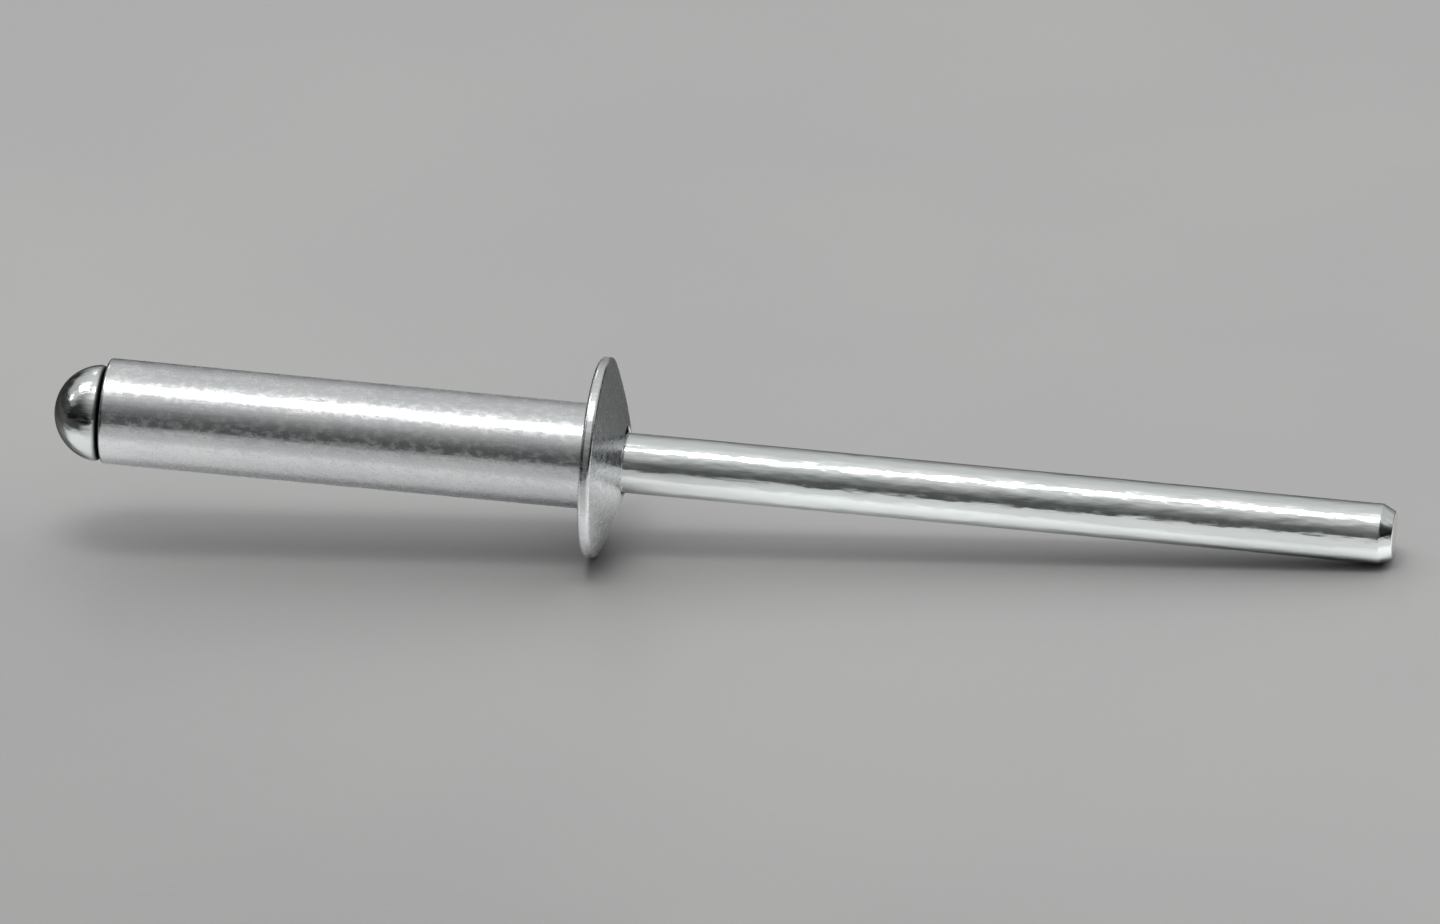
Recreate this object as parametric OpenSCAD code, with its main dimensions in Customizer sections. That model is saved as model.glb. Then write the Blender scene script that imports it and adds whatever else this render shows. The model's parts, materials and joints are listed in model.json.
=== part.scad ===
// Blind rivet with its setting mandrel: a tubular aluminium body with a domed flange, and a plated
// steel mandrel that runs through it. It lies as it comes to rest on a flat surface, on the lowest
// point of the flange rim and on the tip of the mandrel, with the mandrel head held up in the air.
//
// Millimetres, real size. +X runs from the mandrel head towards the mandrel tip, +Z is up, the
// surface is z = 0 and the origin is in the middle of the footprint.
// Both pieces are turned from a section drawn as [distance from the axis, height along the axis].
// Height 0 is the underside of the flange. The dome and the mandrel tip are on the plus side, the
// blind end of the body and the mandrel head on the minus side.

/* [Shank] */
// outside diameter of the shank
shank_d = 4; // [3.85:0.01:4.08]
// length of the shank, from the underside of the flange to the blind end
shank_l = 18.5; // [18:0.1:19]
// diameter of the hole through the body
bore_d = 2.53; // [2.5:0.01:2.7]
// radius of the outer edge at the blind end
end_edge_r = 0.15; // [0.05:0.01:0.3]
// radius of the fillet where the shank meets the flange
fillet_r = 0.15; // [0.05:0.01:0.3]

/* [Flange] */
// diameter of the flange
flange_d = 7.6; // [6.9:0.1:8.4]
// height at which the dome would reach the rim if the rim had no rounded edge
rim_t = 0.42; // [0.35:0.01:0.6]
// radius of the two edges of the rim
rim_edge_r = 0.18; // [0.05:0.01:0.18]
// height at which the dome meets the hole if the hole had no rounded edge
mouth_h = 1.3; // [1:0.01:1.6]
// radius of the gentle outward curve of the dome, seen in section
dome_curve_r = 16; // [8:0.5:40]
// radius of the edge where the hole comes out through the dome
mouth_edge_r = 0.1; // [0.05:0.01:0.2]

/* [Mandrel] */
// diameter of the mandrel stem
stem_d = 2.28; // [2.2:0.01:2.45]
// height of the mandrel tip above the underside of the flange
tip_h = 30.35; // [29:0.05:34]
// length of the taper at the tip
taper_l = 0.5; // [0.3:0.05:1]
// diameter of the flat end of the tip
tip_d = 1.76; // [1.4:0.01:2]

/* [Mandrel head] */
// diameter of the ball that the mandrel head is cut from
ball_d = 3.66; // [3.4:0.01:3.8]
// length of the mandrel head, from its pole to its flat underside
head_l = 1.9; // [1.75:0.01:2]
// radius of the edge where the ball turns into the flat underside
head_edge_r = 0.26; // [0.1:0.01:0.3]
// open gap between the mandrel head and the blind end of the body
head_gap = 0.04; // [0.04:0.01:0.2]
// radius of the fillet between the mandrel head and the stem
neck_fillet_r = 0.03; // [0.01:0.01:0.04]
// distance from the underside of the mandrel head to the middle of the break notch
notch_at = 1.3; // [1:0.05:2]
// width of the break notch at the stem surface
notch_w = 0.7; // [0.4:0.05:1]
// diameter left at the bottom of the break notch
notch_d = 1.7; // [1.4:0.01:1.9]

/* [Hidden] */
$fn = 180;
// air left under the stem where it rests in the hole
seat_gap = 0.005;
// how far a cutting shape runs past the surface that it cuts
over = 1;

shank_r = shank_d / 2;
bore_r = bore_d / 2;
flange_r = flange_d / 2;
stem_r = stem_d / 2;
tip_r = tip_d / 2;
ball_r = ball_d / 2;
notch_r = notch_d / 2;

// the dome's section is an arc from the rim to the hole, bulging outwards
chord = [flange_r - bore_r, mouth_h - rim_t];
chord_half = norm(chord) / 2;
arc_depth = sqrt(dome_curve_r * dome_curve_r - chord_half * chord_half);
arc_x = (flange_r + bore_r) / 2 - arc_depth * chord[1] / norm(chord);
arc_h = (rim_t + mouth_h) / 2 - arc_depth * chord[0] / norm(chord);

// centre of the rim's upper edge, which touches both the rim wall and the dome
rim_x = flange_r - rim_edge_r;
rim_reach = dome_curve_r - rim_edge_r;
rim_h = arc_h + sqrt(rim_reach * rim_reach - (rim_x - arc_x) * (rim_x - arc_x));
rim_end_x = arc_x + (rim_x - arc_x) * dome_curve_r / rim_reach;

// centre of the edge around the hole, which touches both the hole wall and the dome
mouth_x = bore_r + mouth_edge_r;
mouth_reach = dome_curve_r - mouth_edge_r;
mouth_c = arc_h + sqrt(mouth_reach * mouth_reach - (mouth_x - arc_x) * (mouth_x - arc_x));
mouth_end_x = arc_x + (mouth_x - arc_x) * dome_curve_r / mouth_reach;

// heights of the mandrel head
head_h = -shank_l - head_gap;
ball_h = head_h - head_l + ball_r;
notch_h = head_h + notch_at;
taper_h = tip_h - taper_l;

// centre of the edge of the mandrel head, which touches both the ball and the flat underside
edge_h = head_h - head_edge_r;
edge_reach = ball_r - head_edge_r;
edge_x = sqrt(edge_reach * edge_reach - (edge_h - ball_h) * (edge_h - ball_h));
edge_start_h = ball_h + (edge_h - ball_h) * ball_r / edge_reach;

// the mandrel is loose in the hole, so it lies on the hole's lower side
drop = (bore_d - stem_d) / 2 - seat_gap;

// the rivet leans on the rim's upper edge and on the start of the taper
lean_run = taper_h - rim_h;
lean_fall = rim_x - (drop + stem_r);
tilt = atan(lean_fall / lean_run) + asin(rim_edge_r / norm([lean_run, lean_fall]));
lift = rim_h * sin(tilt) + rim_x * cos(tilt) + rim_edge_r;

// foremost and hindmost points along X, before the footprint is centred
back_x = ball_h * cos(tilt) - drop * sin(tilt) - ball_r;
front_x = tip_h * cos(tilt) + (tip_r - drop) * sin(tilt);

// lays a piece that was turned about +Z down on the surface
module lie_down() {
    translate([-(back_x + front_x) / 2, 0, lift])
        rotate([0, 90 + tilt, 0])
            children();
}

// section of the shank, with a rounded edge at the blind end
module shank_section() {
    translate([0, end_edge_r - shank_l])
        square([shank_r, shank_l]);
    translate([0, -shank_l])
        square([shank_r - end_edge_r, shank_l]);
    translate([shank_r - end_edge_r, end_edge_r - shank_l])
        circle(end_edge_r);
}

// section of the fillet in the corner between the shank and the flange
module fillet_section() {
    difference() {
        translate([shank_r - fillet_r, -fillet_r])
            square([2 * fillet_r, 2 * fillet_r]);
        translate([shank_r + fillet_r, -fillet_r])
            circle(fillet_r);
    }
}

// section of the flange: the flat underside, the rim with its two rounded edges, and the dome
module flange_section() {
    translate([0, rim_edge_r])
        square([flange_r, rim_h - rim_edge_r]);
    square([rim_x, rim_h]);
    translate([rim_x, rim_edge_r])
        circle(rim_edge_r);
    translate([rim_x, rim_h])
        circle(rim_edge_r);
    intersection() {
        translate([arc_x, arc_h])
            circle(dome_curve_r);
        square([rim_end_x, mouth_h + over]);
    }
}

// section of the hole, which opens out over its rounded edge at the dome
module hole_section() {
    translate([0, -shank_l - over])
        square([bore_r, shank_l + mouth_h + 2 * over]);
    difference() {
        translate([0, mouth_c])
            square([mouth_end_x, over]);
        translate([mouth_x, mouth_c])
            circle(mouth_edge_r);
    }
}

module rivet_body() {
    color([0.79, 0.80, 0.81])
        lie_down()
            rotate_extrude()
                difference() {
                    union() {
                        shank_section();
                        fillet_section();
                        flange_section();
                    }
                    hole_section();
                }
}

// section of the mandrel head: a ball cut off flat, with a rounded edge around the flat underside
// and a fillet in its corner with the stem
module head_section() {
    intersection() {
        translate([0, ball_h])
            circle(ball_r);
        translate([0, ball_h - ball_r])
            square([ball_r, edge_start_h - ball_h + ball_r]);
    }
    translate([0, edge_start_h])
        square([edge_x, head_h - edge_start_h]);
    translate([edge_x, edge_h])
        circle(head_edge_r);
    difference() {
        translate([0, head_h])
            square([stem_r + neck_fillet_r, neck_fillet_r]);
        translate([stem_r + neck_fillet_r, head_h + neck_fillet_r])
            circle(neck_fillet_r);
    }
}

// section of the stem, which starts inside the head, with the break notch and the taper at the tip
module stem_section() {
    polygon([
        [0, edge_h],
        [stem_r, edge_h],
        [stem_r, notch_h - notch_w / 2],
        [notch_r, notch_h],
        [stem_r, notch_h + notch_w / 2],
        [stem_r, taper_h],
        [tip_r, tip_h],
        [0, tip_h]
    ]);
}

module mandrel() {
    color([0.66, 0.68, 0.67])
        lie_down()
            translate([drop, 0, 0])
                rotate_extrude() {
                    head_section();
                    stem_section();
                }
}

rivet_body();
mandrel();
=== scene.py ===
import json
import math

import bpy
from mathutils import Euler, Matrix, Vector


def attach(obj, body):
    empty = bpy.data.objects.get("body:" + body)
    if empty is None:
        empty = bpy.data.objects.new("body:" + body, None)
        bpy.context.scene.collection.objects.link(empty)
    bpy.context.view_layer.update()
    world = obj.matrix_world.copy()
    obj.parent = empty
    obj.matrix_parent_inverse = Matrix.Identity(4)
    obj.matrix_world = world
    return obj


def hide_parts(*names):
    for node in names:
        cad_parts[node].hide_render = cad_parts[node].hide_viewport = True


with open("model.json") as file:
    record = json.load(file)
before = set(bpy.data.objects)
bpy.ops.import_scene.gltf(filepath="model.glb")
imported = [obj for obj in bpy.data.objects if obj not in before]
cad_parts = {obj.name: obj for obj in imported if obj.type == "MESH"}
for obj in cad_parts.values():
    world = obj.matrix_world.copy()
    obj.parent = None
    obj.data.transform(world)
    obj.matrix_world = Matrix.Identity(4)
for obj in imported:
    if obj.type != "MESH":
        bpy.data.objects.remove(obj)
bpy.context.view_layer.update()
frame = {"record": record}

# A blind rivet lying on a pale table: a tubular aluminium body with a domed flange, and the plated
# steel mandrel that runs through it. The rivet leans on the flange rim and on the mandrel tip.
# Sections are drawn in millimetres as (distance from the axis, height above the flange's underside),
# with the dome and the mandrel tip on the plus side. The finishes of the metal are in millimetres too.
# Everything else is in metres.

MM = 0.001
SCENE = bpy.context.scene

# ---------------------------------------------------------------- rivet body, in millimetres
SHANK_R = 2.0
SHANK_L = 18.5
BORE_R = 1.265
BLIND_EDGE_R = 0.15
SHANK_FILLET_R = 0.15
FLANGE_R = 3.8
RIM_T = 0.42
RIM_EDGE_R = 0.18
MOUTH_H = 1.3
DOME_CURVE_R = 16.0
MOUTH_EDGE_R = 0.1
BORE_EDGE_R = 0.06
# length of one step along straight walls, outside and in the hole
BODY_STEP = 0.16
BORE_STEP = 0.8
# steps in each rounded part
BORE_EDGE_STEPS = 6
BLIND_EDGE_STEPS = 12
SHANK_FILLET_STEPS = 8
RIM_STEPS = 10
DOME_STEPS = 22
MOUTH_STEPS = 10
# painted shade in the crevice at the start and at the end of the blind edge, where it shows above 0
BLIND_EDGE_SHADE = (1.0, -0.3)

# ---------------------------------------------------------------- mandrel, in millimetres
STEM_R = 1.14
TIP_H = 30.35
TAPER_L = 0.5
TIP_R = 0.88
TIP_EDGE_R = 0.07
BALL_R = 1.83
HEAD_L = 1.9
HEAD_GAP = 0.04
HEAD_EDGE_R = 0.26
NECK_FILLET_R = 0.03
NOTCH_AT = 1.3
NOTCH_W = 0.7
NOTCH_R = 0.85
MANDREL_STEP = 0.22
TIP_STEP = 0.08
BALL_STEPS = 44
HEAD_EDGE_STEPS = 16
NECK_FILLET_STEPS = 6
TIP_EDGE_STEPS = 8
# painted shade in the crevice at the start and at the end of the head's edge, where it shows above 0
HEAD_EDGE_SHADE = (-0.1, 1.6)

# ---------------------------------------------------------------- fine steps, in millimetres
# a straight wall longer than SHORTEST_SPLIT fine steps gets one at each end
FINE_STEP = 0.03
FINER_STEP = 0.01
TIP_FINE_STEP = 0.02
SHORTEST_SPLIT = 4
# points nearer together than this are one point
SAME_POINT = 1e-6


# ================================================================ sections
class Section:
    """The outline of a turned piece, drawn from point to point, with a mark on its rounded edges and a
    level of painted shade for the crevice between head and body.
    """

    def __init__(self, step):
        self.step = step
        self.points = []
        self.edges = []
        self.crevice_shade = []
        self.painted_shade = 0.0

    def add(self, r, h, mark=0.0):
        self.points.append((max(r, 0.0), h))
        self.edges.append(mark)
        self.crevice_shade.append(self.painted_shade)

    def line(self, r, h, fine=FINE_STEP):
        """A straight wall to (r, h), with short steps at both ends so that shading stays flat."""
        r0, h0 = self.points[-1]
        length = math.hypot(r - r0, h - h0)
        stops = []
        if length > SHORTEST_SPLIT * fine:
            inner = length - 2 * fine
            count = max(1, round(inner / self.step))
            stops = [fine + inner * i / count for i in range(count + 1)]
        for s in stops:
            t = s / length
            self.add(r0 + (r - r0) * t, h0 + (h - h0) * t)
        self.add(r, h)

    def arc(self, centre, radius, start, end, count, mark=0.0, painted_shade=None):
        """An arc round centre from angle start to angle end, in degrees, 0 pointing away from the axis.
        Its mark is strongest in the middle. The painted shade of the crevice, when given, runs from its
        first value at the start to its second at the end."""
        for i in range(count + 1):
            a = math.radians(start + (end - start) * i / count)
            bell = mark * math.sin(math.pi * i / count)
            if painted_shade:
                self.painted_shade = painted_shade[0] + (painted_shade[1] - painted_shade[0]) * i / count
            p = (centre[0] + radius * math.cos(a), centre[1] + radius * math.sin(a))
            if self.points and math.dist(p, self.points[-1]) < SAME_POINT:
                continue
            self.add(*p, bell)


def circle_height(centre, reach, r):
    """Height of a circle of radius reach round centre where it stands r from the axis."""
    return centre[1] + math.sqrt(reach * reach - (r - centre[0]) ** 2)


def body_section():
    """Closed outline of the rivet body: hole, blind end, shank, underside, rim and dome."""
    chord = (FLANGE_R - BORE_R, MOUTH_H - RIM_T)
    chord_len = math.hypot(*chord)
    depth = math.sqrt(DOME_CURVE_R ** 2 - (chord_len / 2) ** 2)
    dome = (
        (FLANGE_R + BORE_R) / 2 - depth * chord[1] / chord_len,
        (RIM_T + MOUTH_H) / 2 - depth * chord[0] / chord_len,
    )
    rim_x = FLANGE_R - RIM_EDGE_R
    rim_top = circle_height(dome, DOME_CURVE_R - RIM_EDGE_R, rim_x)
    mouth_x = BORE_R + MOUTH_EDGE_R
    mouth_top = circle_height(dome, DOME_CURVE_R - MOUTH_EDGE_R, mouth_x)
    rim_turn = math.degrees(math.atan2(rim_top - dome[1], rim_x - dome[0]))
    mouth_turn = math.degrees(math.atan2(mouth_top - dome[1], mouth_x - dome[0]))

    bore_edge = (BORE_R + BORE_EDGE_R, BORE_EDGE_R - SHANK_L)
    blind_edge = (SHANK_R - BLIND_EDGE_R, BLIND_EDGE_R - SHANK_L)
    fillet = (SHANK_R + SHANK_FILLET_R, -SHANK_FILLET_R)

    s = Section(BODY_STEP)
    # painted shade on the hole's edge and the blind end, which face the mandrel head across the crevice
    s.painted_shade = 1.0
    s.arc(bore_edge, BORE_EDGE_R, 180, 270, BORE_EDGE_STEPS, mark=1.0)
    s.line(SHANK_R - BLIND_EDGE_R, -SHANK_L)
    s.arc(blind_edge, BLIND_EDGE_R, 270, 360, BLIND_EDGE_STEPS, painted_shade=BLIND_EDGE_SHADE)
    s.painted_shade = 0.0
    s.line(SHANK_R, -SHANK_FILLET_R)
    s.arc(fillet, SHANK_FILLET_R, 180, 90, SHANK_FILLET_STEPS)
    s.line(rim_x, 0.0)
    s.arc((rim_x, RIM_EDGE_R), RIM_EDGE_R, 270, 360, RIM_STEPS, mark=1.0)
    s.line(FLANGE_R, rim_top, FINER_STEP)
    s.arc((rim_x, rim_top), RIM_EDGE_R, 0, rim_turn, RIM_STEPS, mark=1.0)
    s.arc(dome, DOME_CURVE_R, rim_turn, mouth_turn, DOME_STEPS)
    s.arc((mouth_x, mouth_top), MOUTH_EDGE_R, mouth_turn, 180, MOUTH_STEPS, mark=1.0)
    s.step = BORE_STEP
    s.line(BORE_R, BORE_EDGE_R - SHANK_L)
    return s


def mandrel_section():
    """Outline of the mandrel from the pole of its head to the middle of its tip."""
    head_h = -SHANK_L - HEAD_GAP
    ball = (0.0, head_h - HEAD_L + BALL_R)
    # the ball stops at the rounded edge that joins it to the flat underside
    edge_h = head_h - HEAD_EDGE_R
    edge_x = math.sqrt((BALL_R - HEAD_EDGE_R) ** 2 - (edge_h - ball[1]) ** 2)
    ball_turn = math.degrees(math.atan2(edge_h - ball[1], edge_x))
    notch_h = head_h + NOTCH_AT
    taper_h = TIP_H - TAPER_L
    taper_turn = math.degrees(math.atan2(STEM_R - TIP_R, TAPER_L))
    # the tip's edge touches both the taper and the flat end
    tip_edge_h = TIP_H - TIP_EDGE_R
    half_turn = math.radians(90 - taper_turn) / 2
    tip_edge_x = TIP_R - TIP_EDGE_R * math.tan(half_turn)
    taper_end = (
        tip_edge_x + TIP_EDGE_R * math.cos(math.radians(taper_turn)),
        tip_edge_h + TIP_EDGE_R * math.sin(math.radians(taper_turn)),
    )
    neck = (STEM_R + NECK_FILLET_R, head_h + NECK_FILLET_R)

    s = Section(MANDREL_STEP)
    s.arc(ball, BALL_R, -90, ball_turn, BALL_STEPS)
    s.arc((edge_x, edge_h), HEAD_EDGE_R, ball_turn, 90, HEAD_EDGE_STEPS, painted_shade=HEAD_EDGE_SHADE)
    # painted shade on the head's underside, the neck and the notch, in the crevice and inside the hole
    s.painted_shade = 1.0
    s.line(STEM_R + NECK_FILLET_R, head_h)
    s.arc(neck, NECK_FILLET_R, 270, 180, NECK_FILLET_STEPS)
    s.line(STEM_R, notch_h - NOTCH_W / 2)
    s.line(NOTCH_R, notch_h, FINER_STEP)
    s.line(STEM_R, notch_h + NOTCH_W / 2, FINER_STEP)
    s.painted_shade = 0.0
    s.line(STEM_R, taper_h)
    s.line(*taper_end)
    s.arc((tip_edge_x, tip_edge_h), TIP_EDGE_R, taper_turn, 90, TIP_EDGE_STEPS, mark=1.0)
    s.step = TIP_STEP
    s.line(0.0, TIP_H, TIP_FINE_STEP)
    return s


# ================================================================ turning
# radius of the circle that a section is swept round, taken off again before the sweep
PATH_R = 1.0
# points of the swept surface nearer together than this become one, which closes seams and poles
MERGE_WITHIN = 1e-4


def socket(tree, name, kind, in_out="INPUT", value=None):
    """Adds a named input or output to a tree."""
    made = tree.interface.new_socket(name=name, in_out=in_out, socket_type=kind)
    if value is not None:
        made.default_value = value
    return made


class Wiring:
    """Short calls for adding nodes to a tree and joining them."""

    def __init__(self, tree):
        self.tree = tree

    def node(self, kind, **settings):
        made = self.tree.nodes.new(kind)
        for key, value in settings.items():
            setattr(made, key, value)
        return made

    def join(self, source, target):
        self.tree.links.new(source, target)

    def give(self, target, value):
        """Joins a socket to the target, or sets the target to a plain value."""
        if isinstance(value, bpy.types.NodeSocket):
            self.join(value, target)
        else:
            target.default_value = value

    def feed(self, made, **values):
        """Gives values to a node's inputs by name, and returns the node."""
        for key, value in values.items():
            self.give(made.inputs[key.replace("_", " ")], value)
        return made

    def add(self, kind, **values):
        """Adds a node, feeds it and returns its first output."""
        return self.feed(self.node(kind), **values).outputs[0]

    def math(self, operation, *values, clamp=False):
        made = self.node("ShaderNodeMath", operation=operation, use_clamp=clamp)
        for target, value in zip(made.inputs, values):
            self.give(target, value)
        return made.outputs[0]

    def vector_math(self, operation, first, second):
        made = self.node("ShaderNodeVectorMath", operation=operation)
        self.give(made.inputs[0], first)
        self.give(made.inputs["Scale" if operation == "SCALE" else 1], second)
        return made.outputs[0]

    def parts(self, vector):
        """The outputs X, Y and Z of a vector."""
        made = self.node("ShaderNodeSeparateXYZ")
        self.join(vector, made.inputs[0])
        return made.outputs


def turning_tree():
    """Turns a section into a closed solid of revolution with hand-made unevenness, and lays it down."""
    tree = bpy.data.node_groups.new("turned_piece", "GeometryNodeTree")
    tree.is_modifier = True
    socket(tree, "Section", "NodeSocketGeometry")
    socket(tree, "Facets", "NodeSocketInt", value=160)
    socket(tree, "Unevenness", "NodeSocketFloat", value=0.0)
    socket(tree, "Uneven Length", "NodeSocketFloat", value=1.0)
    socket(tree, "Seed", "NodeSocketFloat", value=1.0)
    socket(tree, "Lean", "NodeSocketVector")
    socket(tree, "Place", "NodeSocketVector")
    socket(tree, "Finish", "NodeSocketMaterial")
    socket(tree, "Piece", "NodeSocketGeometry", in_out="OUTPUT")
    w = Wiring(tree)
    source = w.node("NodeGroupInput").outputs

    # the section is drawn in by the radius of the path before it is swept round it
    curve = w.add("GeometryNodeMeshToCurve", Mesh=source["Section"])
    place = w.parts(w.add("GeometryNodeInputPosition"))
    drawn_in = w.math("SUBTRACT", place["X"], PATH_R)
    upright = w.math("MULTIPLY", place["Y"], -1.0)
    swept_place = w.add("ShaderNodeCombineXYZ", X=drawn_in, Y=upright)
    drawn = w.add("GeometryNodeSetPosition", Geometry=curve, Position=swept_place)
    path = w.add("GeometryNodeCurvePrimitiveCircle", Resolution=source["Facets"], Radius=PATH_R)
    swept = w.add("GeometryNodeCurveToMesh", Curve=path, Profile_Curve=drawn)
    merged = w.add("GeometryNodeMergeByDistance", Geometry=swept, Distance=MERGE_WITHIN)
    # the sweep leaves the faces pointing inwards
    closed = w.add("GeometryNodeFlipFaces", Mesh=merged)

    # shallow hollows, always inwards, so that the piece never grows past its size
    shift = w.add("ShaderNodeCombineXYZ", X=source["Seed"], Y=source["Seed"], Z=source["Seed"])
    where = w.vector_math("ADD", w.add("GeometryNodeInputPosition"), shift)
    density = w.math("DIVIDE", 1.0, source["Uneven Length"])
    noise = w.add("ShaderNodeTexNoise", Vector=where, Detail=1.0, Scale=density)
    depth = w.math("MULTIPLY", noise, w.math("MULTIPLY", source["Unevenness"], -1.0))
    inwards = w.vector_math("SCALE", w.add("GeometryNodeInputNormal"), depth)
    uneven = w.add("GeometryNodeSetPosition", Geometry=closed, Offset=inwards)

    small = w.add("GeometryNodeTransform", Geometry=uneven, Scale=(MM, MM, MM))
    laid = w.add(
        "GeometryNodeTransform",
        Geometry=small,
        Rotation=source["Lean"],
        Translation=source["Place"],
    )
    smooth = w.add("GeometryNodeSetShadeSmooth", Geometry=laid)
    real = w.add("GeometryNodeRealizeInstances", Geometry=smooth)
    faced = w.add("GeometryNodeSetMaterial", Geometry=real, Material=source["Finish"])
    w.join(faced, w.node("NodeGroupOutput").inputs["Piece"])
    return tree


def set_inputs(modifier, **values):
    """Sets a modifier's named inputs by the identifiers of their sockets."""
    for item in modifier.node_group.interface.items_tree:
        if item.in_out == "INPUT" and item.name.replace(" ", "_") in values:
            modifier[item.identifier] = values[item.name.replace(" ", "_")]


def turn_piece(name, section, closed, tree, **inputs):
    """Turns a section with the tree and returns the finished piece as a plain mesh object.
    A closed section is joined up from its last point to its first."""
    outline = bpy.data.meshes.new(name + "_section")
    count = len(section.points)
    edges = [(i, i + 1) for i in range(count - 1)]
    if closed:
        edges.append((count - 1, 0))
    outline.from_pydata([(r, h, 0.0) for r, h in section.points], edges, [])
    # the second mark carries the painted shade of the crevice
    for label, values in (("edge_mark", section.edges), ("grime_mark", section.crevice_shade)):
        mark = outline.attributes.new(label, "FLOAT", "POINT")
        mark.data.foreach_set("value", values)
    blank = bpy.data.objects.new(name + "_blank", outline)
    SCENE.collection.objects.link(blank)
    modifier = blank.modifiers.new("turning", "NODES")
    modifier.node_group = tree
    set_inputs(modifier, **inputs)
    graph = bpy.context.evaluated_depsgraph_get()
    mesh = bpy.data.meshes.new_from_object(blank.evaluated_get(graph))
    mesh.name = name
    bpy.data.objects.remove(blank)
    piece = bpy.data.objects.new(name, mesh)
    SCENE.collection.objects.link(piece)
    return piece


# ================================================================ place of the rivet's own axis
MOUNTS = {m["name"]: m for m in frame["record"]["mounts"]}
AXIS = Vector(MOUNTS["stem"]["axis"])
FLANGE_CENTRE = Vector(MOUNTS["shank"]["pos_m"]) + AXIS * (SHANK_L / 2 * MM)
STEM_POINT = Vector(MOUNTS["stem"]["pos_m"])
STEM_ORIGIN = STEM_POINT + AXIS * ((FLANGE_CENTRE - STEM_POINT).dot(AXIS))
LEAN = Euler((0.0, math.atan2(AXIS.x, AXIS.z), 0.0))


# ================================================================ finishes
def rgb(r, g, b):
    """A solid colour."""
    return (r, g, b, 1.0)


BLACK = rgb(0.0, 0.0, 0.0)

# specks and patches appear as their noise rises through these ranges; the densities say how many
# spots of noise come to one pebble
SPECK_RANGE = (0.36, 0.70)
SPECK_DENSITY = 1.6
PATCH_RANGE = (0.35, 0.65)
PATCH_DENSITY = 0.16
NICK_SHARPNESS = 1.5
# painted shade in the crevice is fully dark from a mark of 0.9 up; it dulls the metal and worn metal is
# smoother
CREVICE_SHADE_RANGE = (0.0, 0.9)
CREVICE_SHADE_TONE = rgb(0.02, 0.022, 0.02)
CREVICE_DULLNESS = 0.45
WORN_SMOOTHNESS = 0.1
# share of the light thrown on the table that the metal keeps back
SPILL_KEPT_BACK = 0.92

# Lengths are in millimetres. Each depth is (strength, depth in millimetres). The two tones change
# places from patch to patch, and the tint is the colour of the metal seen nearly edge-on.
SATIN_ALUMINIUM = {
    "pebbles": {"Pebble_Size": 0.3, "Drawn_Out": 1.8},
    "lines": {"Line_Width": 0.09, "Line_Length": 3.0},
    "nicks": {"Spacing": 1.1, "Nick_Size": 0.1},
    "tones": (rgb(0.80, 0.81, 0.83), rgb(0.87, 0.875, 0.885)),
    "worn": {"Worn_Color": rgb(0.94, 0.945, 0.95), "Wear": 0.6},
    "roughness": 0.17,
    "speck_roughness": 0.20,
    "line_depth": (0.12, 0.02),
    "pebble_depth": (0.12, 0.02),
    "nick_depth": (0.4, 0.02),
    "edge_on_tint": rgb(0.55, 0.55, 0.55),
}
BRIGHT_ZINC = {
    "pebbles": {"Pebble_Size": 0.34, "Drawn_Out": 3.0},
    "lines": {"Line_Width": 0.12, "Line_Length": 5.0},
    "nicks": {"Spacing": 1.3, "Nick_Size": 0.09},
    "tones": (rgb(0.90, 0.94, 0.935), rgb(0.95, 0.975, 0.97)),
    "worn": {"Worn_Color": rgb(0.94, 0.95, 0.94), "Wear": 0.5},
    "roughness": 0.09,
    "speck_roughness": 0.16,
    "line_depth": (0.25, 0.02),
    "pebble_depth": (0.65, 0.04),
    "nick_depth": (0.4, 0.02),
    "edge_on_tint": rgb(0.34, 0.33, 0.32),
}


def ramp(w, value, low, high, low_out=0.0, high_out=1.0):
    """A smooth step from low_out, at low, to high_out, at high. It is level beyond both."""
    made = w.node("ShaderNodeMapRange", interpolation_type="SMOOTHSTEP")
    w.feed(made, Value=value, From_Min=low, From_Max=high, To_Min=low_out, To_Max=high_out)
    return made.outputs["Result"]


def mix_colour(w, factor, a, b):
    """Colour a where the factor is 0 and colour b where it is 1."""
    made = w.node("ShaderNodeMix", data_type="RGBA")
    # a Mix node's inputs 0, 6 and 7 and its output 2 are the ones for colours
    for index, value in ((0, factor), (6, a), (7, b)):
        w.give(made.inputs[index], value)
    return made.outputs[2]


def bump(w, height, depth, normal=None):
    """Dents and bumps from a height, with a depth given as (strength, millimetres)."""
    strength, distance = depth
    made = w.feed(w.node("ShaderNodeBump"), Height=height, Strength=strength, Distance=distance * MM)
    if normal:
        w.join(normal, made.inputs["Normal"])
    return made.outputs[0]


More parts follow.
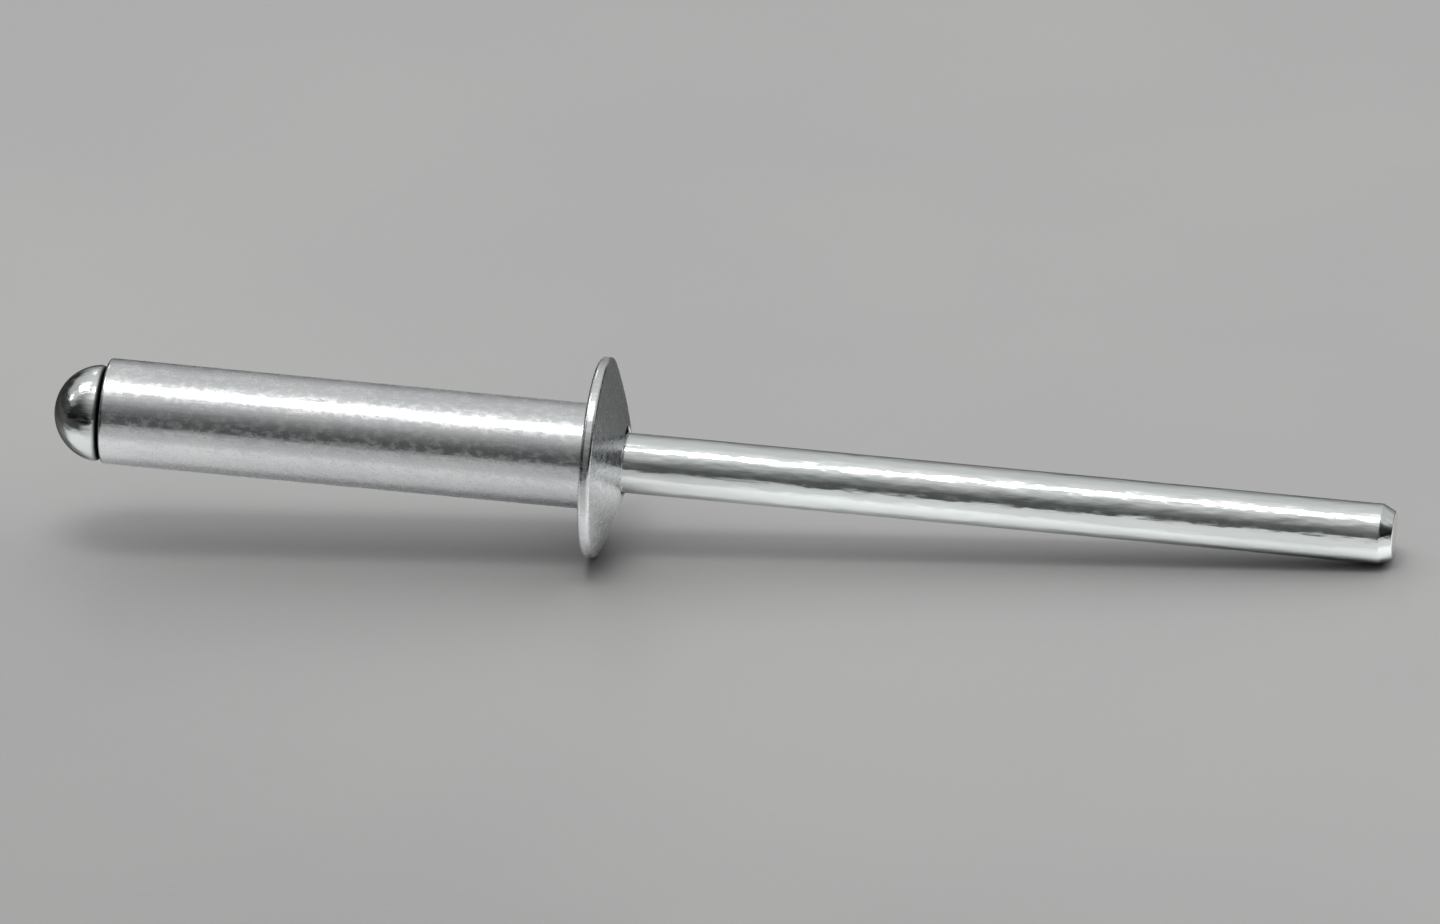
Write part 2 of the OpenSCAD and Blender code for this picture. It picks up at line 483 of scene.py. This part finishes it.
def pebble_group():
    """Soft pebbling from tumbling: low bumps drawn out along the axis, with duller specks on them."""
    tree = bpy.data.node_groups.new("tumbled_pebbles", "ShaderNodeTree")
    socket(tree, "Place", "NodeSocketVector")
    socket(tree, "Pebble Size", "NodeSocketFloat", value=0.3)
    socket(tree, "Drawn Out", "NodeSocketFloat", value=1.5)
    socket(tree, "Height", "NodeSocketFloat", in_out="OUTPUT")
    socket(tree, "Specks", "NodeSocketFloat", in_out="OUTPUT")
    socket(tree, "Patches", "NodeSocketFloat", in_out="OUTPUT")
    w = Wiring(tree)
    source = w.node("NodeGroupInput").outputs
    sink = w.node("NodeGroupOutput").inputs
    across = w.math("DIVIDE", 1.0, source["Pebble Size"])
    along = w.math("DIVIDE", across, source["Drawn Out"])
    stretch = w.add("ShaderNodeCombineXYZ", X=across, Y=across, Z=along)
    place = w.vector_math("MULTIPLY", source["Place"], stretch)
    bumps = w.add("ShaderNodeTexNoise", Vector=place, Scale=1.0, Detail=1.5, Roughness=0.5)
    w.join(bumps, sink["Height"])
    fine = w.add("ShaderNodeTexNoise", Vector=place, Scale=SPECK_DENSITY, Detail=2.0, Roughness=0.6)
    w.join(ramp(w, fine, *SPECK_RANGE), sink["Specks"])
    patches = w.add("ShaderNodeTexNoise", Vector=place, Scale=PATCH_DENSITY, Detail=2.0)
    w.join(patches, sink["Patches"])
    return tree


def die_line_group():
    """Faint straight lines along the axis, left by the drawing die."""
    tree = bpy.data.node_groups.new("die_lines", "ShaderNodeTree")
    socket(tree, "Place", "NodeSocketVector")
    socket(tree, "Line Width", "NodeSocketFloat", value=0.1)
    socket(tree, "Line Length", "NodeSocketFloat", value=6.0)
    socket(tree, "Height", "NodeSocketFloat", in_out="OUTPUT")
    w = Wiring(tree)
    source = w.node("NodeGroupInput").outputs
    across = w.math("DIVIDE", 1.0, source["Line Width"])
    along = w.math("DIVIDE", 1.0, source["Line Length"])
    stretch = w.add("ShaderNodeCombineXYZ", X=across, Y=across, Z=along)
    place = w.vector_math("MULTIPLY", source["Place"], stretch)
    lines = w.add("ShaderNodeTexNoise", Vector=place, Scale=1.0, Detail=4.0, Roughness=0.6)
    w.join(lines, w.node("NodeGroupOutput").inputs["Height"])
    return tree


def nick_group():
    """Sparse small nicks from handling, as dents of mixed size."""
    tree = bpy.data.node_groups.new("handling_nicks", "ShaderNodeTree")
    socket(tree, "Place", "NodeSocketVector")
    socket(tree, "Spacing", "NodeSocketFloat", value=1.5)
    socket(tree, "Nick Size", "NodeSocketFloat", value=0.12)
    socket(tree, "Dent", "NodeSocketFloat", in_out="OUTPUT")
    w = Wiring(tree)
    source = w.node("NodeGroupInput").outputs
    cells = w.node("ShaderNodeTexVoronoi")
    w.feed(cells, Vector=source["Place"], Scale=w.math("DIVIDE", 1.0, source["Spacing"]))
    reach = w.math("DIVIDE", source["Nick Size"], source["Spacing"])
    away = w.math("DIVIDE", cells.outputs["Distance"], reach)
    near = w.math("SUBTRACT", 1.0, away, clamp=True)
    w.join(w.math("POWER", near, NICK_SHARPNESS), w.node("NodeGroupOutput").inputs["Dent"])
    return tree


def wear_and_crevice_shade_group():
    """Bright worn metal on exposed edges, and painted shade, dark and matt, in the crevice between head
    and body.
    """
    tree = bpy.data.node_groups.new("edge_wear_and_grime", "ShaderNodeTree")
    socket(tree, "Color", "NodeSocketColor")
    socket(tree, "Roughness", "NodeSocketFloat", value=0.2)
    socket(tree, "Edge", "NodeSocketFloat")
    socket(tree, "Grime", "NodeSocketFloat")
    socket(tree, "Worn Color", "NodeSocketColor")
    socket(tree, "Wear", "NodeSocketFloat", value=0.5)
    socket(tree, "Color", "NodeSocketColor", in_out="OUTPUT")
    socket(tree, "Roughness", "NodeSocketFloat", in_out="OUTPUT")
    w = Wiring(tree)
    source = w.node("NodeGroupInput").outputs
    sink = w.node("NodeGroupOutput").inputs
    worn = w.math("MULTIPLY", source["Edge"], source["Wear"])
    shaded = ramp(w, source["Grime"], *CREVICE_SHADE_RANGE)
    polished = mix_colour(w, worn, source["Color"], source["Worn Color"])
    # painted shade: the crevice is mixed towards a dark tone
    w.join(mix_colour(w, shaded, polished, CREVICE_SHADE_TONE), sink["Color"])
    polish = w.math("MULTIPLY", worn, WORN_SMOOTHNESS)
    smoother = w.math("SUBTRACT", source["Roughness"], polish)
    dulled = w.math("ADD", smoother, w.math("MULTIPLY", shaded, CREVICE_DULLNESS))
    w.join(dulled, sink["Roughness"])
    return tree


def piece_place(w):
    """Coordinates in millimetres on the rivet's own axis, Z running towards the mandrel tip."""
    coordinates = w.node("ShaderNodeTexCoord")
    mapping = w.node("ShaderNodeMapping", vector_type="TEXTURE")
    w.feed(
        mapping,
        Vector=coordinates.outputs["Object"],
        Location=tuple(FLANGE_CENTRE),
        Rotation=tuple(LEAN),
        Scale=(MM, MM, MM),
    )
    return mapping.outputs[0]


def group(w, tree, **values):
    """Places a group in a material with its own values, and returns its outputs."""
    made = w.node("ShaderNodeGroup")
    made.node_tree = tree
    return w.feed(made, **values).outputs


def shade_spill(w, tone):
    """Keeps the light that the metal throws on the table low, so that the shadows stay deep."""
    thrown = w.node("ShaderNodeLightPath").outputs["Is Diffuse Ray"]
    return mix_colour(w, w.math("MULTIPLY", thrown, SPILL_KEPT_BACK), tone, BLACK)


def new_finish(name):
    """An empty material with one shader."""
    made = bpy.data.materials.new(name)
    made.use_nodes = True
    made.node_tree.nodes.clear()
    w = Wiring(made.node_tree)
    shader = w.node("ShaderNodeBsdfPrincipled")
    w.join(shader.outputs[0], w.node("ShaderNodeOutputMaterial").inputs["Surface"])
    return made, w, shader


def metal_finish(name, look, pebble_tree, line_tree, nick_tree, wear_tree):
    """Bare or plated metal with pebbling, die lines, nicks, brighter worn edges and painted shade in
    the crevice.
    """
    made, w, shader = new_finish(name)
    place = piece_place(w)
    pebble = group(w, pebble_tree, Place=place, **look["pebbles"])
    lines = group(w, line_tree, Place=place, **look["lines"])
    nick = group(w, nick_tree, Place=place, **look["nicks"])
    edge = w.node("ShaderNodeAttribute", attribute_name="edge_mark").outputs["Fac"]
    # mark of the painted shade in the crevice between head and body
    crevice_shade = w.node("ShaderNodeAttribute", attribute_name="grime_mark").outputs["Fac"]
    tone = mix_colour(w, ramp(w, pebble["Patches"], *PATCH_RANGE), *look["tones"])
    specks = w.math("MULTIPLY", pebble["Specks"], look["speck_roughness"])
    rough = w.math("ADD", look["roughness"], specks)
    worn = group(w, wear_tree, Color=tone, Roughness=rough, Edge=edge, Grime=crevice_shade, **look["worn"])
    w.join(shade_spill(w, worn["Color"]), shader.inputs["Base Color"])
    w.join(worn["Roughness"], shader.inputs["Roughness"])
    shader.inputs["Metallic"].default_value = 1.0
    normal = bump(w, lines["Height"], look["line_depth"])
    normal = bump(w, pebble["Height"], look["pebble_depth"], normal)
    normal = bump(w, w.math("MULTIPLY", nick["Dent"], -1.0), look["nick_depth"], normal)
    w.join(normal, shader.inputs["Normal"])
    shader.inputs["Specular Tint"].default_value = look["edge_on_tint"]
    return made


# ================================================================ table
# Each ramp is (low, high) or (low, high, value at low, value at high). Places are in metres on the
# table, with X to the right and Y to the back, as in the frame.
TABLE_HALF = 4.0
TABLE_TONES = (rgb(0.310, 0.308, 0.307), rgb(0.330, 0.327, 0.324))
# the tone changes as the noise of the clouds rises through this range
CLOUD_RANGE = (0.3, 0.7)
CLOUD_DENSITY = 30.0
GRAIN_DENSITY = 2500.0
GRAIN_DEPTH = (0.08, 0.05)
TABLE_ROUGHNESS = 0.38
GRAIN_ROUGHNESS = 0.12
# painted light fall-off: the sheet's tone darkens towards the front, and half as fast towards the left
LEFT_SHARE = 0.5
PAINTED_LIGHT_FALL = (-0.055, 0.005, 0.84, 1.0)
# painted reflection: the sheet as the metal mirrors it, with a painted sheen and dark painted patches
PAINTED_SHEEN_BY_BODY = rgb(0.58, 0.58, 0.58)
PAINTED_SHEEN_BY_STEM = rgb(0.83, 0.835, 0.83)
PAINTED_SHADOW_BEHIND = rgb(0.13, 0.135, 0.13)
PAINTED_SHADE_FAR_LEFT = rgb(0.03, 0.028, 0.025)
BODY_TO_STEM = (-0.008, 0.004)
# height of the rivet's axis from the blind end to the mandrel tip
AXIS_HEIGHT = (-0.0235, 0.0253, 0.0054, 0.0012)
# strength of the painted sheen by distance in front of the rivet, counted in heights of its axis
IN_FRONT = (-2.2, -1.1, 0.66, 1.1)
# the painted shadow patch behind the flange starts on a line that runs aslant
FLANGE_SLANT = 0.18
BACK_OF_FLANGE = (0.0025, 0.0065)
RIGHT_OF_FLANGE = (-0.009, -0.004)
BACK_OF_HEAD = (-0.0012, 0.001)
LEFT_OF_HEAD = (-0.0245, -0.0265)
FAR_LEFT = (-0.031, -0.041)


def painted_mirror_sheet(w, x, y):
    """Painted reflection of the sheet, as metal standing on it mirrors it from close up: its painted
    sheen is stronger in front of the rivet, most of all beside the mandrel, and weak in two painted
    shadow patches behind it. Far to the left it is painted dark, as shade."""
    sheen = mix_colour(w, ramp(w, x, *BODY_TO_STEM), PAINTED_SHEEN_BY_BODY, PAINTED_SHEEN_BY_STEM)
    heights = w.math("DIVIDE", y, ramp(w, x, *AXIS_HEIGHT))
    sheen = mix_colour(w, ramp(w, heights, *IN_FRONT), BLACK, sheen)
    slanted = w.math("SUBTRACT", y, w.math("MULTIPLY", x, FLANGE_SLANT))
    by_flange = w.math("MULTIPLY", ramp(w, slanted, *BACK_OF_FLANGE), ramp(w, x, *RIGHT_OF_FLANGE))
    by_head = w.math("MULTIPLY", ramp(w, y, *BACK_OF_HEAD), ramp(w, x, *LEFT_OF_HEAD))
    # two painted shadow patches, behind the flange and behind the head
    sheen = mix_colour(w, w.math("MAXIMUM", by_flange, by_head), sheen, PAINTED_SHADOW_BEHIND)
    # painted shade far to the left
    return mix_colour(w, ramp(w, x, *FAR_LEFT), sheen, PAINTED_SHADE_FAR_LEFT)


def table_finish():
    """Pale grey laminate with a soft sheen and faint cloudiness, painted light fall-off and a painted
    reflection.
    """
    made, w, shader = new_finish("pale_laminate")
    coordinates = w.node("ShaderNodeTexCoord").outputs["Object"]
    clouds = w.add("ShaderNodeTexNoise", Vector=coordinates, Scale=CLOUD_DENSITY, Detail=3.0)
    tone = mix_colour(w, ramp(w, clouds, *CLOUD_RANGE), *TABLE_TONES)
    where = w.parts(coordinates)
    # painted light fall-off darkens the sheet towards the front and the left
    towards = w.math("ADD", w.math("MULTIPLY", where["X"], LEFT_SHARE), where["Y"])
    tone = mix_colour(w, ramp(w, towards, *PAINTED_LIGHT_FALL), BLACK, tone)
    # only a mirror image seen straight in the metal shows the sheet with its painted sheen and painted
    # shadow patches
    path = w.node("ShaderNodeLightPath").outputs
    bounced = w.math("MINIMUM", path["Diffuse Depth"], 1.0)
    mirrored = w.math("MULTIPLY", path["Is Glossy Ray"], w.math("SUBTRACT", 1.0, bounced))
    seen = mix_colour(w, mirrored, tone, painted_mirror_sheet(w, where["X"], where["Y"]))
    w.join(seen, shader.inputs["Base Color"])
    grain = w.add("ShaderNodeTexNoise", Vector=coordinates, Scale=GRAIN_DENSITY, Detail=4.0)
    rough = w.math("ADD", TABLE_ROUGHNESS, w.math("MULTIPLY", grain, GRAIN_ROUGHNESS))
    w.join(rough, shader.inputs["Roughness"])
    w.join(bump(w, grain, GRAIN_DEPTH), shader.inputs["Normal"])
    return made


def make_table():
    """A flat sheet that reaches past every view."""
    half = TABLE_HALF
    mesh = bpy.data.meshes.new("table_top")
    corners = [(-half, -half, 0.0), (half, -half, 0.0), (half, half, 0.0), (-half, half, 0.0)]
    mesh.from_pydata(corners, [], [(0, 1, 2, 3)])
    mesh.materials.append(table_finish())
    floor = bpy.data.objects.new("table_top", mesh)
    SCENE.collection.objects.link(floor)


# ================================================================ camera
CAMERA_AZIMUTH = math.radians(10.4)
CAMERA_ELEVATION = math.radians(24.86)
CAMERA_ROLL = math.radians(3.51)
LENS = 800.0
SENSOR = 36.0
VIEW_WIDTH = 53.93 * MM
# the camera looks at a point this far right of the flange and below it, as it sees them
AIM_RIGHT = 4.772 * MM
AIM_DOWN = 0.203 * MM
CLIP_START = 0.01
CLIP_END = 10.0


def make_camera():
    """A long lens from the front, a little above, with the camera turned slightly on its own axis."""
    data = bpy.data.cameras.new("camera")
    data.lens = LENS
    data.sensor_width = SENSOR
    camera = bpy.data.objects.new("camera", data)
    SCENE.collection.objects.link(camera)
    SCENE.camera = camera
    back = Vector((
        math.sin(CAMERA_AZIMUTH) * math.cos(CAMERA_ELEVATION),
        -math.cos(CAMERA_AZIMUTH) * math.cos(CAMERA_ELEVATION),
        math.sin(CAMERA_ELEVATION),
    ))
    turn = (-back).to_track_quat("-Z", "Y") @ Euler((0.0, 0.0, -CAMERA_ROLL)).to_quaternion()
    distance = VIEW_WIDTH * LENS / SENSOR
    right = turn @ Vector((1.0, 0.0, 0.0))
    up = turn @ Vector((0.0, 1.0, 0.0))
    aim = FLANGE_CENTRE + right * AIM_RIGHT - up * AIM_DOWN
    camera.rotation_mode = "QUATERNION"
    camera.rotation_quaternion = turn
    camera.location = aim + back * distance
    data.clip_start = CLIP_START
    data.clip_end = CLIP_END


# ================================================================ light
# A direction is (across, towards the viewer, up). Distance and size are in metres, power in watts.
# Without metal a light is not mirrored in the metal, without table it leaves the table alone.
LIGHTS = (
    {
        "name": "overhead_light", "direction": (0.0, 0.16, 1.0), "distance": 0.7,
        "size": (0.34, 0.11), "power": 0.70, "tint": (1.0, 0.985, 0.975),
    },
    {
        "name": "table_light", "direction": (0.0, 0.2, 1.0), "distance": 0.7,
        "size": (0.26, 0.26), "power": 1.05, "metal": False,
    },
    {
        "name": "high_left_window", "direction": (-0.56, -0.10, 0.80), "distance": 0.6,
        "size": (0.2, 0.2), "power": 0.34, "table": False,
    },
    {
        "name": "left_window", "direction": (-0.85, -0.1, 0.45), "distance": 0.6,
        "size": (0.05, 0.08), "power": 0.02, "table": False,
    },
    {
        "name": "back_window", "direction": (-0.27, -0.72, 0.64), "distance": 0.6,
        "size": (0.06, 0.12), "power": 0.05, "table": False,
    },
)
# brightness of the room from the horizon behind (0) over the top (0.5) to the horizon in front (1)
SKY_TONES = (
    (0.0001, 0.36),
    (0.083, 0.42),
    (0.217, 0.53),
    (0.367, 0.57),
    (0.48, 0.74),
    (0.60, 0.72),
    (0.70, 0.46),
    (0.80, 0.20),
    (0.90, 0.085),
    (0.9999, 0.07),
)
SKY_TINT = (0.985, 1.0, 0.995)
# Ramps over a direction's own X, Y or Z. The room is dim in front towards the sides, low down
# towards the sides, and a little at the far sides.
FRONT = (0.1, -0.3)
FRONT_SIDES = (0.25, 0.75, 0.0, 0.9)
LOW = (0.50, 0.30)
LOW_SIDES = (0.28, 0.5, 0.0, 0.92)
SIDES = (0.3, 0.9, 0.0, 0.35)
# how much more light the table gets, from the front and from behind
TABLE_EXTRA = (-0.2, 0.5, 0.8, 2.5)


def soft_box(name, direction, distance, size, power, tint=(1.0, 1.0, 1.0), metal=True, table=True):
    """A rectangular light that shines at the rivet. It is mirrored in the metal, or lights the
    table, or both."""
    data = bpy.data.lights.new(name, "AREA")
    data.shape = "RECTANGLE"
    data.size, data.size_y = size
    data.energy = power
    data.color = tint
    light = bpy.data.objects.new(name, data)
    SCENE.collection.objects.link(light)
    heading = Vector((direction[0], -direction[1], direction[2])).normalized()
    light.location = heading * distance
    light.rotation_mode = "QUATERNION"
    light.rotation_quaternion = (-heading).to_track_quat("-Z", "Y")
    light.visible_camera = False
    light.visible_glossy = metal
    light.visible_diffuse = table


def make_world():
    """A soft room: bright overhead, grey behind, and dim in front and to the sides."""
    world = bpy.data.worlds.new("room")
    SCENE.world = world
    world.use_nodes = True
    world.node_tree.nodes.clear()
    w = Wiring(world.node_tree)
    sight = w.parts(w.node("ShaderNodeTexCoord").outputs["Generated"])
    # 0 at the horizon behind the rivet, 0.5 straight up, 1 at the horizon in front
    turn = w.math("DIVIDE", w.math("ARCTAN2", sight["Z"], sight["Y"]), math.pi)
    sky = w.node("ShaderNodeValToRGB")
    w.join(turn, sky.inputs[0])
    stops = sky.color_ramp.elements
    for place, tone in SKY_TONES:
        stop = stops.new(place)
        stop.color = rgb(*(share * tone for share in SKY_TINT))
    # the two stops that every new ramp has, at 0 and 1
    stops.remove(stops[0])
    stops.remove(stops[len(stops) - 1])
    side = w.math("ABSOLUTE", sight["X"])
    dim_front = w.math("MULTIPLY", ramp(w, sight["Y"], *FRONT), ramp(w, side, *FRONT_SIDES))
    dim_low = w.math("MULTIPLY", ramp(w, sight["Z"], *LOW), ramp(w, side, *LOW_SIDES))
    dim = w.math("MAXIMUM", dim_front, w.math("MAXIMUM", dim_low, ramp(w, side, *SIDES)))
    # the table gets more of the room's light than the metal shows, most of all from behind
    to_table = w.node("ShaderNodeLightPath").outputs["Is Diffuse Ray"]
    extra = w.math("MULTIPLY", to_table, ramp(w, sight["Y"], *TABLE_EXTRA))
    strength = w.math("MULTIPLY", w.math("SUBTRACT", 1.0, dim), w.math("ADD", 1.0, extra))
    shader = w.add("ShaderNodeBackground", Color=sky.outputs[0], Strength=strength)
    w.join(shader, w.node("ShaderNodeOutputWorld").inputs["Surface"])


# ================================================================ the rivet on its table
def main():
    """Makes the two pieces, and sets up the table, the light and the camera."""
    tree = turning_tree()
    groups = (pebble_group(), die_line_group(), nick_group(), wear_and_crevice_shade_group())
    aluminium = metal_finish("satin_aluminium", SATIN_ALUMINIUM, *groups)
    zinc = metal_finish("zinc_plated_steel", BRIGHT_ZINC, *groups)

    body = turn_piece(
        "rivet_body_turned", body_section(), True, tree,
        Facets=192, Unevenness=0.014, Uneven_Length=1.6, Seed=3.0,
        Lean=tuple(LEAN), Place=tuple(FLANGE_CENTRE), Finish=aluminium,
    )
    mandrel = turn_piece(
        "mandrel_drawn", mandrel_section(), False, tree,
        Facets=144, Unevenness=0.012, Uneven_Length=1.2, Seed=8.0,
        Lean=tuple(LEAN), Place=tuple(STEM_ORIGIN), Finish=zinc,
    )
    for piece, node, slot in ((body, "rivet_body", "aluminium"), (mandrel, "mandrel", "plated_steel")):
        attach(piece, "root")
        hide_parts(node)

    make_table()
    for light in LIGHTS:
        soft_box(**light)
    make_world()
    make_camera()
    SCENE.view_settings.view_transform = "Standard"


main()
